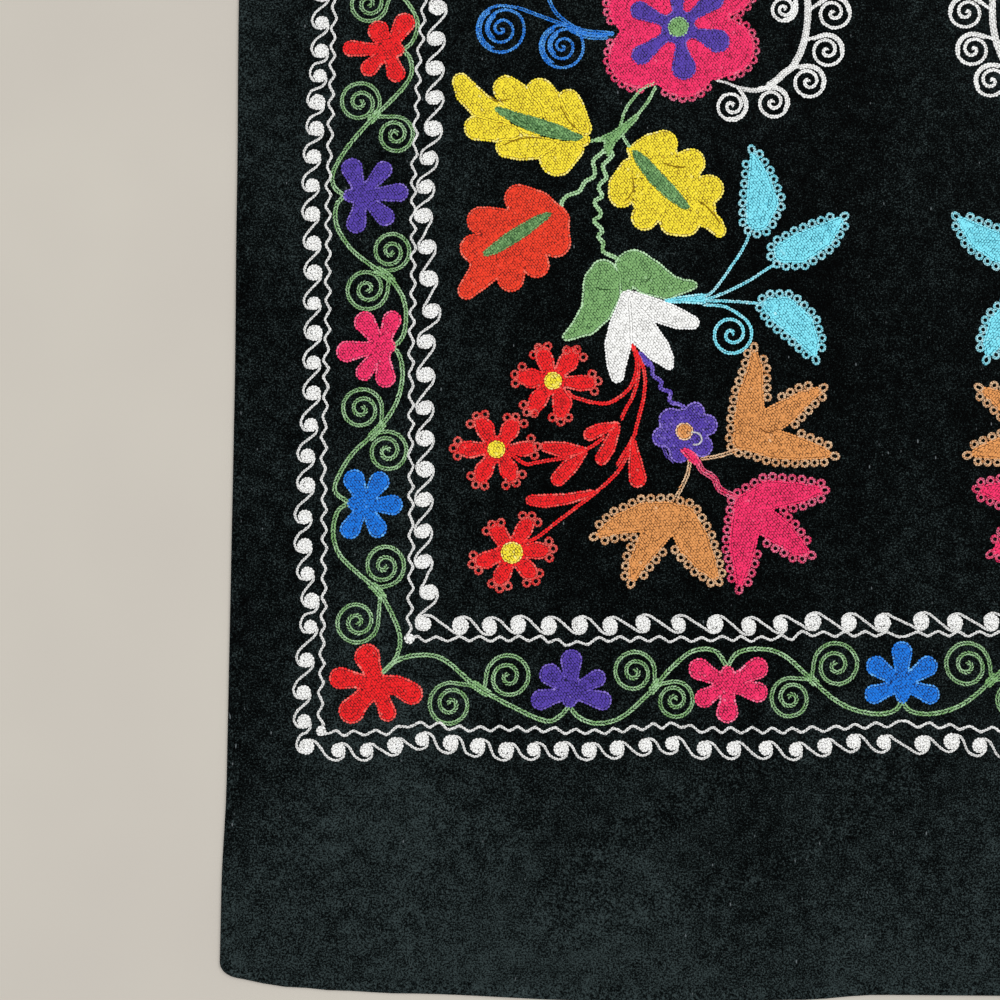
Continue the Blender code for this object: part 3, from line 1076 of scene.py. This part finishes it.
GREEN_STEMS = (
    ((-186, -141.5), (-191, -143), (-197, -147), (-201.5, -152.5), (-205.5, -157.5),
     (-208.5, -163), (-210.5, -169), (-212, -175)),
    ((-185, -144), (-187.5, -148.5), (-191, -155.5), (-195, -160.5), (-199, -166)),
    ((-225, -183.5), (-228.5, -184), (-231.5, -185), (-234, -186)),
    ((-210, -181), (-209, -183.5), (-207, -187), (-204.5, -190.5)),
)
GREEN_FORK = (
    [(-199.5, -167, 2), (-206, -173, 2.5), (-212, -178.5, 3.5), (-219, -184.5, 4.2),
     (-221, -190.5, 3.4), (-220.5, -194.5, 3)],
    [(-221, -183, 2.5), (-227, -184.5, 1.7), (-234, -186, 1.4)],
)
GREEN_WAVES = (
    ((-224, -193), (-227, -196), (-231.5, -199.5), (-232.5, -202), (-231, -207.5), (-231, -212.5),
     (-234, -214.5), (-238.5, -217), (-240.5, -221), (-243, -224.5), (-249, -226.5),
     (-253.5, -229), (-255.5, -232.5), (-256, -235.5)),
    ((-219, -193), (-217.5, -196.5), (-222, -201.5), (-225, -205), (-222.5, -211.5),
     (-222, -214.5), (-226, -217.5), (-228, -222), (-225.5, -226), (-225, -228.5),
     (-229.5, -230.5), (-231, -233), (-228, -237.5), (-226, -240), (-227, -244), (-230.5, -245),
     (-231, -247.5), (-228, -250.5), (-225.5, -252.5), (-225, -255.5), (-228, -257.5),
     (-227, -260.5), (-224, -263), (-224.5, -267), (-224.5, -270), (-221, -272), (-215, -274.5),
     (-212, -277.5)),
)
for stem in GREEN_STEMS:
    work("green_leafwork", smooth(stem), 2, lift=0.4)
fill("green_leafwork", GREEN_FORK)
for stem in GREEN_WAVES:
    work("green_leafwork", smooth(stem), 2.6, lift=0.4)

CALYX = (
    [(-214.5, -297, 5.5), (-216.5, -289.5, 8), (-224, -286, 10), (-225.5, -294, 13.5),
     (-225, -301, 14.5), (-228.5, -314, 12), (-236.5, -324.5, 9.5), (-245.5, -331, 5.5),
     (-251, -334.5, 3.5)],
    [(-207, -296.5, 6), (-206, -288, 8), (-204.5, -281.5, 11), (-201, -281.5, 13),
     (-189, -290, 13.5), (-176, -296.5, 10), (-164, -296.5, 5.5), (-156.5, -295.5, 3.5)],
)
TULIP = (
    [(-205.5, -305, 5.5), (-209.5, -326, 9.5), (-212.5, -341, 10), (-213.5, -354.5, 7.5),
     (-213, -364.5, 5)],
    [(-202.5, -307, 6), (-193.5, -331.5, 11), (-183, -344, 9.5), (-177, -351, 6.5),
     (-174, -356.5, 3.5)],
    [(-201.5, -306.5, 6), (-187, -313.5, 8.5), (-175, -318, 8.5), (-166, -321.5, 7.5),
     (-156.5, -324, 5)],
)
fill("white_tulip", TULIP, split=True, raised=0.3)
fill("green_leafwork", CALYX, cut_by=[TULIP], split=True, edge=0.6)

# Leaves

LEAVES = (
    # colour, whether each lobe is worked by itself, rib, lobed blade
    ("yellow", True,
     [(-307, -160.5, 1.4), (-299, -164.5, 3.2), (-288, -169.5, 4.8), (-272.5, -175, 5.9),
      (-257.5, -179.5, 5.2), (-247.5, -182.5, 3.2), (-241, -183.5, 1.4)],
     [(-303, -164, 7.5), (-280, -171.5, 10.5), (-257.5, -180, 9), (-241, -184.5, 6),
      (-237.5, -185.5, 3)],
     [(-307, -164.5, 9), (-318, -158.5, 9.5), (-328, -148.5, 9), (-333, -140, 6.5)],
     [(-280.5, -162.5, 15), (-298.5, -145.5, 10)], [(-257.5, -170, 12.5), (-273, -148.5, 11)],
     [(-240, -176, 6.5), (-248.5, -160.5, 9.5), (-251, -154.5, 8.5)],
     [(-248.5, -191.5, 9.5), (-259, -198.5, 14)],
     [(-266.5, -190, 9), (-287.5, -191, 9.5), (-297.5, -190, 8.5)],
     [(-295.5, -179, 9), (-314, -176, 9.5), (-320.5, -175.5, 9.5)]),
    ("yellow", False,
     [(-202, -193, 1.3), (-196, -200.5, 4.5), (-185.5, -213.5, 5.6), (-174, -225, 5.2),
      (-165, -233.5, 3.5), (-160, -237.5, 1.4)],
     [(-205.5, -191.5, 1.5), (-193, -204.5, 8), (-175.5, -222, 12.5), (-159, -237, 10.5),
      (-147.5, -244, 6.5)],
     [(-197, -199, 7.5), (-188, -190, 9.5), (-179, -188, 10.5)],
     [(-172.5, -212, 12), (-158.5, -202.5, 11)], [(-163, -227.5, 11), (-144.5, -222.5, 11)],
     [(-151.5, -240, 8), (-140, -249.5, 6.5), (-136.5, -254.5, 5)],
     [(-163, -238.5, 11), (-165, -248, 10)], [(-181.5, -229.5, 11), (-193, -244, 10)],
     [(-204.5, -206.5, 7.5), (-210.5, -219.5, 10), (-210.5, -226.5, 10)], [(-176, -199, 9)],
     [(-160, -213, 8)], [(-147.5, -237, 8)], [(-156, -241, 8.5)], [(-176.5, -240, 7.5)],
     [(-172.5, -248.5, 9), (-161, -248.5, 9.5)], [(-183.5, -202, 3.5)], [(-191, -220, 3.5)],
     [(-194.5, -229, 9.5)], [(-197, -219, 6.5)],
     [(-203.5, -192.5, 2.5), (-197, -191, 6), (-188, -188.5, 8)], [(-185, -199.5, 5)]),
    ("orange", False,
     [(-265, -242, 2), (-272, -245.5, 3.5), (-283, -253, 4.8), (-296, -261.5, 5),
      (-306.5, -268.5, 4), (-313, -272, 2)],
     [(-256, -238, 2), (-265, -245.5, 9), (-285.5, -258.5, 12), (-305.5, -271.5, 10.5)],
     [(-260, -246.5, 10.5), (-274.5, -235.5, 12), (-288.5, -229.5, 10.5)],
     [(-287, -252.5, 12.5), (-311, -247, 11), (-316.5, -246.5, 10.5)],
     [(-302, -266, 10.5), (-321.5, -267.5, 10.5)],
     [(-305.5, -278, 11), (-319, -291, 9.5), (-326.5, -299.5, 7)],
     [(-292.5, -278, 10.5), (-293.5, -290.5, 10)], [(-279, -270.5, 10.5), (-274.5, -280, 10)],
     [(-262, -254, 12), (-260, -263, 11.5)], [(-289.5, -241.5, 8)], [(-309, -256, 8.5)],
     [(-315.5, -279, 9)], [(-271, -266, 6.5)]),
)
for shade, lobe_by_lobe, rib, *blade in LEAVES:
    fill(shade + "_leaves", blade, cut_by=[[rib]], split=lobe_by_lobe)
    fill("green_leafwork", [rib], width=2.3, edge=0, lift=-0.22, raised=0.4)

# Turquoise leaves

TURQUOISE_STEMS = (
    ((-180.5, -306.5), (-162.5, -306.5), (-146, -303.5), (-137, -295), (-128, -282),
     (-119.5, -269), (-113.5, -256)),
    ((-175, -307.5), (-158.5, -307), (-142, -305), (-117.5, -294), (-95.5, -280)),
    ((-175, -308), (-158.5, -308.5), (-142, -307.5), (-125, -308), (-101, -310)),
    ((-175, -309), (-158.5, -310), (-146, -310.5), (-134, -311.5), (-125, -315.5)),
)
# How many of each stem's first places lie in the joint and aren't worked
TURQUOISE_UNDER = 34
TURQUOISE_JOINT = [(-178, -307.5, 1.5), (-172, -307, 2), (-164.5, -306.5, 2.5), (-149.5, -306, 4)]
TURQUOISE_LEAVES = (
    [(-111.5, -196, 2), (-107, -214.5, 8), (-104.5, -232.5, 12), (-107.5, -245, 9)],
    [(-87.5, -270.5, 8), (-76, -267.5, 11), (-59.5, -258.5, 9), (-46, -246.5, 3)],
    [(-97, -311.5, 6.5), (-88, -315.5, 11), (-76, -326, 10.5), (-68, -339, 6.5), (-65, -348.5, 2)],
)
fill("turquoise_leaves", [TURQUOISE_JOINT])
for stem in TURQUOISE_STEMS:
    work("turquoise_leaves", smooth(stem)[TURQUOISE_UNDER:], 1.8, lift=0.3)
scroll("turquoise_leaves", -127, -332.5, 15, -125, -315.5, -1)
for leaf in TURQUOISE_LEAVES:
    loops_round("turquoise_leaves", fill("turquoise_leaves", [leaf], edge=0.1), [leaf])

# Red spray

RED_FLOWERS = (
    # heart and its radius, then each petal's stroke of three rows and the loops at its tip
    ((-261, -368, 6.5),
     ((-264, -361.5, 4.5), (-267, -352.5, 6.5), (-269.5, -346.5, 5.5),
      (-276.5, -348.5), (-272.5, -342.5), (-265, -341.5)),
     ((-256, -361.5, 4.5), (-250, -354, 7.5), (-247.5, -348.5, 6),
      (-251.5, -344.5), (-243, -344), (-237.5, -350.5)),
     ((-251.5, -369, 4), (-241, -369.5, 6), (-234, -369.5, 5.5),
      (-231.5, -362), (-226.5, -368), (-229.5, -376.5)),
     ((-257, -375, 4.5), (-254, -384.5, 7.5), (-255, -392, 5.5),
      (-262, -396), (-255, -399.5), (-248.5, -396)),
     ((-266, -374, 4.5), (-271.5, -381.5, 7), (-275, -387.5, 5.5),
      (-284, -386), (-281, -392), (-275, -393)),
     ((-268.5, -366.5, 4.5), (-277.5, -366, 7.5), (-283, -365, 5.5),
      (-284.5, -356.5), (-290.5, -363), (-290, -370.5))),
    ((-303, -419.5, 6.5),
     ((-307.5, -412.5, 4.5), (-311.5, -404, 7), (-314.5, -399.5, 5.5),
      (-323.5, -400.5), (-318.5, -394), (-311.5, -392.5)),
     ((-297.5, -412.5, 4.5), (-293, -405, 7), (-291, -401, 5.5),
      (-295.5, -395), (-288.5, -394.5), (-281.5, -400)),
     ((-292.5, -419, 3.5), (-281.5, -419, 6), (-278, -418.5, 5),
      (-277, -410.5), (-272, -417), (-274, -424.5)),
     ((-297, -426.5, 4.5), (-293.5, -435, 7), (-291.5, -439.5, 5),
      (-282.5, -438), (-287.5, -445), (-296, -447)),
     ((-307.5, -427.5, 4.5), (-312, -435, 7), (-314, -439.5, 5.5),
      (-322.5, -439.5), (-318.5, -446.5), (-311, -447.5)),
     ((-312, -419, 4.5), (-322.5, -419.5, 6.5), (-327, -419, 5.5),
      (-332.5, -412.5), (-336, -418.5), (-332.5, -425))),
    ((-290.5, -496.5, 8),
     ((-295.5, -489.5, 5), (-300, -482.5, 6.5), (-302, -480.5, 5.5),
      (-298.5, -473.5), (-306, -475), (-310.5, -480.5)),
     ((-286, -487, 5), (-281.5, -479, 6.5), (-279.5, -475, 5.5),
      (-283, -468.5), (-275.5, -468.5), (-270.5, -474)),
     ((-280.5, -495.5, 5), (-271, -495, 6.5), (-267.5, -495, 5.5),
      (-262.5, -487.5), (-259, -493.5), (-262, -501)),
     ((-284.5, -503.5, 5), (-278.5, -509.5, 6.5), (-276.5, -511.5, 5.5),
      (-269, -512), (-272, -518.5), (-279.5, -520)),
     ((-294, -505, 5), (-297.5, -513, 6.5), (-299, -516, 5.5),
      (-306, -520), (-299.5, -524), (-292.5, -522)),
     ((-301, -498.5, 5), (-309.5, -502, 6.5), (-312.5, -503, 5.5),
      (-320, -498), (-321, -505.5), (-315.5, -510.5))),
)
RED_STEMS = (
    ((-202.5, -339.5), (-202, -341), (-198.5, -351.5), (-199, -362.5), (-203, -372.5),
     (-210, -379.5), (-219, -384.5), (-228, -384.5), (-236, -383), (-240.5, -381.5),
     (-245, -380.5), (-250.5, -375.5)),
    ((-201.5, -341), (-197.5, -351), (-197, -362.5), (-198.5, -371.5), (-201.5, -380.5),
     (-206, -388.5), (-209.5, -396.5)),
    ((-201, -342), (-196, -351), (-192.5, -361.5), (-192, -371.5), (-193.5, -383.5),
     (-196.5, -395.5), (-199, -405.5), (-200, -409.5), (-207, -422), (-212.5, -431)),
    ((-201, -416), (-209, -432), (-218, -442.5), (-232.5, -455), (-255, -472), (-275, -487),
     (-287.5, -486.5)),
    ((-222, -410), (-229, -415.5), (-235, -419)),
    ((-248.5, -425.5), (-255.5, -426.5), (-262.5, -427.5), (-268.5, -428.5), (-274, -429.5),
     (-280, -430.5), (-286, -427.5), (-291.5, -423.5)),
)
RED_BUDS = (
    [(-213, -400.5, 2), (-224, -404, 4.5), (-233, -408, 5)],
    [(-213, -402, 3), (-218.5, -417, 5), (-224, -426, 5)],
    [(-236, -420, 2), (-251.5, -420, 6), (-266, -417.5, 4)],
    [(-236.5, -421.5, 2), (-248, -432.5, 6), (-256.5, -441.5, 5.5)],
    [(-201, -412.5, 2), (-199, -429, 5), (-197, -441.5, 6.5)],
    [(-231, -452, 2.5), (-249, -456.5, 4), (-266, -458, 5), (-276.5, -457.5, 4)],
)
# The share of the way to a petal's tip that its loops are drawn in
LOOP_DRAWN_IN = 0.1
for stem in RED_STEMS:
    work("red_spray", smooth(stem), 2.3, pitch=2.4)
for bud in RED_BUDS:
    fill("red_spray", [bud])
for (heart_x, heart_y, radius), *petals in RED_FLOWERS:
    flower = [disc(heart_x, heart_y, radius + 3)]
    for root, middle, tip, *loops in petals:
        flower.append([root, middle, tip])
        for x, y in loops:
            x, y = x + LOOP_DRAWN_IN * (tip[0] - x), y + LOOP_DRAWN_IN * (tip[1] - y)
            way = math.atan2(middle[1] - y, middle[0] - x)
            ring_loop("red_spray", x, y, way, 2.7, lift=0.36, raised=0.3)
    centre = [disc(heart_x, heart_y, radius)]
    fill("red_spray", flower, cut_by=[centre])
    fill("yellow_leaves", centre, width=2.2, edge=0.1, lift=0.16, raised=0.4)

# Purple flower and the three-pointed leaves

PURPLE_STEM = (
    (-196, -346.5), (-193, -351.5), (-186.5, -357.5), (-186.5, -363.5), (-179.5, -368.5),
    (-181, -373.5), (-172.5, -376.5), (-174, -381.5), (-171.5, -385), (-167.5, -385),
    (-163, -387.5),
)
PANSY = [
    disc(*lobe)
    for lobe in (
        (-162.5, -406.5, 17.5), (-154.5, -391.5, 7.5), (-145.5, -401, 8), (-149, -417, 8),
        (-165.5, -421.5, 8), (-179, -410, 7.5), (-172.5, -397.5, 9),
    )
]
PANSY_EYE = [disc(-162.5, -406, 6.5)]
PANSY_ROW = (
    (-180.5, -416), (-178, -418), (-177, -420.5), (-175.5, -424), (-172.5, -426.5),
    (-169.5, -429.5),
)
PANSY_FOOT = [(-195.5, -346.5, 1.5), (-192, -351.5, 3), (-187, -358, 1.5)]
PINK_START = [
    (-164.5, -419.5, 1.5), (-160.5, -421.5, 2.5), (-156, -425.5, 3.5), (-152.5, -429.5, 2.5),
]
LOOSE_THREAD = (
    (-157.5, -406.5), (-153.5, -407), (-151.5, -408), (-150, -410), (-149.5, -412.5),
    (-150.5, -414.5), (-153, -416), (-156, -416),
)
work("purple_flower", smooth(PURPLE_STEM), 2.5, lift=0.3)
work("purple_flower", smooth(PANSY_ROW), lift=0.3, kind=CHAIN)
fill("purple_flower", [PANSY_FOOT])
fill("purple_flower", PANSY, cut_by=[PANSY_EYE, [PINK_START]], softness=0.7, lift=0.16)
fill("tan_leaves", PANSY_EYE, width=2.2, edge=0.4, lift=0.16, raised=0.4)
work("white_loose_thread", smooth(LOOSE_THREAD), 0.95, DRAWN_ONLY, pitch=1.2, raised=0.9)

POINTED_LEAVES = (
    # colour, three points
    ("tan",
     [(-119.5, -413, 6.5), (-113.5, -397.5, 11.5), (-112.5, -378.5, 9.5), (-109.5, -360, 6),
      (-110, -347, 2.5)],
     [(-102, -401, 10.5), (-87, -391.5, 9), (-72.5, -381, 6), (-62.5, -375.5, 3)],
     [(-113.5, -411, 9), (-94.5, -415.5, 11), (-76, -419, 8.5), (-59.5, -422, 4.5),
      (-53.5, -423.5, 2)]),
    ("tan",
     [(-174.5, -468, 9.5), (-191.5, -470, 11), (-210, -475, 7.5), (-225, -482.5, 3)],
     [(-179, -476, 11), (-189, -491, 9), (-196.5, -503.5, 6.5), (-200, -514.5, 3.5)],
     [(-164, -472, 11), (-155.5, -488.5, 12), (-146.5, -503.5, 8), (-139, -514, 3)]),
    ("pink",
     [(-115.5, -462, 9.5), (-98.5, -453.5, 11), (-76, -452, 7.5), (-62.5, -450.5, 3.5)],
     [(-104.5, -471, 10.5), (-89.5, -482, 9.5), (-77.5, -492.5, 6), (-71.5, -496, 3)],
     [(-115.5, -472, 11), (-118.5, -491, 10), (-119, -505.5, 6.5), (-120.5, -519, 3)]),
)
POINTED_STEMS = (
    # colour, width, lift, pitch, how far it stands up, rows beside it, course
    ("pink", 2.7, 0.34, 2.5, 0.5, (-1.2, 1.2),
     (-160, -420.5), (-156, -424), (-152.5, -429), (-149, -435), (-140, -441), (-136, -449),
     (-129, -453), (-122, -456)),
    ("tan", 3.4, 0.45, PITCH_IN_VIEW, 0, (0,),
     (-150.5, -426.5), (-139.5, -425), (-128.5, -422), (-119, -418)),
    ("tan", 3.4, 0.45, PITCH_IN_VIEW, 0, (0,),
     (-158, -424), (-159, -435), (-162.5, -444.5), (-168.5, -456)),
)
for shade, *points in POINTED_LEAVES:
    leaf = fill(shade + "_leaves", points, edge=0.1)
    loops_round(shade + "_leaves", leaf, points, lift=0.42 if shade == "tan" else LOOP_LIFT)
fill("pink_leaves", [PINK_START], raised=0.4)
for shade, width, lift, pitch, raised, offsets, *stem in POINTED_STEMS:
    for offset in offsets:
        row = beside(smooth(stem), offset)
        work(shade + "_leaves", row, width, lift=lift, pitch=pitch, kind=CHAIN, raised=raised)

# Slits where two rows stand a little apart: thin rows of darkened thread, painted shade in the gap
# between them

SLIT_SHADES = (
    ("green_leafwork", (-291.5, -167), (-288.5, -170.5), (-285, -171.5), (-280, -175.5),
     (-275.5, -177), (-269, -177.5), (-262, -179.5)),
    ("yellow_leaves", (-310, -151.5), (-305.5, -155.5), (-300, -154.5), (-295.5, -154)),
    ("yellow_leaves", (-257, -159), (-254.5, -164.5), (-251, -170.5), (-246, -175.5)),
    ("yellow_leaves", (-299, -188.5), (-291.5, -185.5), (-281.5, -183.5), (-272.5, -183.5)),
    ("yellow_leaves", (-178.5, -203), (-170.5, -205.5), (-162.5, -206)),
    ("yellow_leaves", (-151.5, -232), (-145, -237.5), (-140.5, -242.5), (-136.5, -248.5)),
    ("yellow_leaves", (-202.5, -213.5), (-201.5, -219), (-202, -223.5), (-204.5, -228),
     (-207, -231.5)),
    ("tan_leaves", (-106, -403.5), (-101.5, -406.5), (-97, -406.5), (-93, -404)),
    ("green_leafwork", (-229, -297.5), (-225, -299), (-220, -299)),
    ("green_leafwork", (-192, -293), (-190, -291.5), (-188, -289)),
)
for piece, *slit in SLIT_SHADES:
    work(piece, smooth(slit), 0.8, DRAWN_ONLY, -0.5, raised=0.5)

# Making the pieces

# Pieces that aren't named for their thread
THREAD_OF = {"outer": "white", "inner": "white", "zigzag": "white", "vine": "green"}
for name in sorted(worked):
    shade = name.split("_")[0]
    shade = THREAD_OF.get(shade, shade)
    piece = stitched_mesh(name, THREADS[shade])
    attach(piece, "root")

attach(velvet, "root")
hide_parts("velvet_panel")

# Floor, light, camera, in metres

FLOOR_SIZE, FLOOR_DROP = 60, 0.0003
LIT_PLACE = (-0.2, -0.4, 0)
LIGHTS = (
    # name, place, size, watts
    ("window_light", (1.6, 1.2, 2.4), 1.6, 76),
    ("room_light", (-1.4, -1.6, 2.6), 2.4, 32.5),
)
STUDIO_COLOUR, STUDIO_STRENGTH = (0.95, 0.97, 1, 1), 0.66
CAMERA_PLACE = (-0.3048, -0.472, 0.5631)
CAMERA_TILT = math.radians(1.5)
LENS_LENGTH, SENSOR_WIDTH = 27.04, 36


def lay_floor():
    finish = Finish("pale_floor")
    mottle = finish.noise(finish.places(), 3, 3)
    tone = finish.ramp(mottle, (0.3, colour("#b2aba1")), (0.7, colour("#bbb5a9")))
    finish.surface({"Base Color": tone, "Roughness": 0.7})
    bpy.ops.mesh.primitive_plane_add(size=FLOOR_SIZE, location=(0, 0, -FLOOR_DROP))
    floor = bpy.context.object
    floor.name = "floor"
    bpy.ops.object.transform_apply(location=True)
    floor.data.materials.append(finish.material)


def soft_light(name, place, size, power):
    lamp = bpy.data.lights.new(name, "AREA")
    lamp.size = size
    lamp.energy = power
    holder = bpy.data.objects.new(name, lamp)
    holder.location = place
    x, y, z = np.array(LIT_PLACE) - place
    holder.rotation_euler = math.atan2(math.hypot(x, y), -z), 0, math.atan2(x, -y) + math.pi
    bpy.context.collection.objects.link(holder)


lay_floor()
for light in LIGHTS:
    soft_light(*light)

world = bpy.data.worlds.new("studio")
world.use_nodes = True
background = world.node_tree.nodes["Background"]
background.inputs["Color"].default_value = STUDIO_COLOUR
background.inputs["Strength"].default_value = STUDIO_STRENGTH
bpy.context.scene.world = world
bpy.context.scene.view_settings.view_transform = "Standard"

view = bpy.data.cameras.new("camera")
view.lens = LENS_LENGTH
view.sensor_width = SENSOR_WIDTH
view.clip_start = 0.01
camera = bpy.data.objects.new("camera", view)
camera.location = CAMERA_PLACE
camera.rotation_euler = (CAMERA_TILT, 0, 0)
bpy.context.collection.objects.link(camera)
bpy.context.scene.camera = camera
